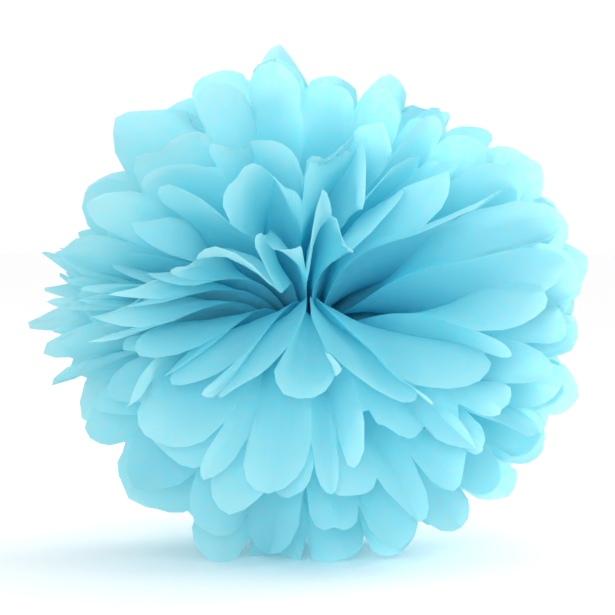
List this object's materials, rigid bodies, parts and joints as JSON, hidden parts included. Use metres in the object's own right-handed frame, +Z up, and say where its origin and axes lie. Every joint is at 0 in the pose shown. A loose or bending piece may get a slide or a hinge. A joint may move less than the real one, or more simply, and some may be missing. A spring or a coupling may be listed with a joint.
{
  "type": "tissue paper pom pom",
  "caption": "Round party decoration of pleated tissue paper sheets with scalloped ends, tied at the middle by a wire and fanned out into a ball of petals.",
  "frame": {"origin": "centre of the footprint, on the plane that the lowest petals rest on", "axes": "+Z up; every sheet fans out round the flower axis, which runs along Y with the front facing -Y; X is the widest way across"},
  "size_m": [0.2464, 0.2279, 0.2172],
  "materials": {
    "tissue": "matt, thin and translucent",
    "tie_wire": "satin"
  },
  "bodies": {
    "root": {"sheet_01": "tissue", "sheet_02": "tissue", "sheet_03": "tissue", "sheet_04": "tissue", "sheet_05": "tissue", "sheet_06": "tissue", "sheet_07": "tissue", "sheet_08": "tissue", "sheet_09": "tissue", "sheet_10": "tissue", "wire_tie": "tie_wire"}
  },
  "joints": []
}
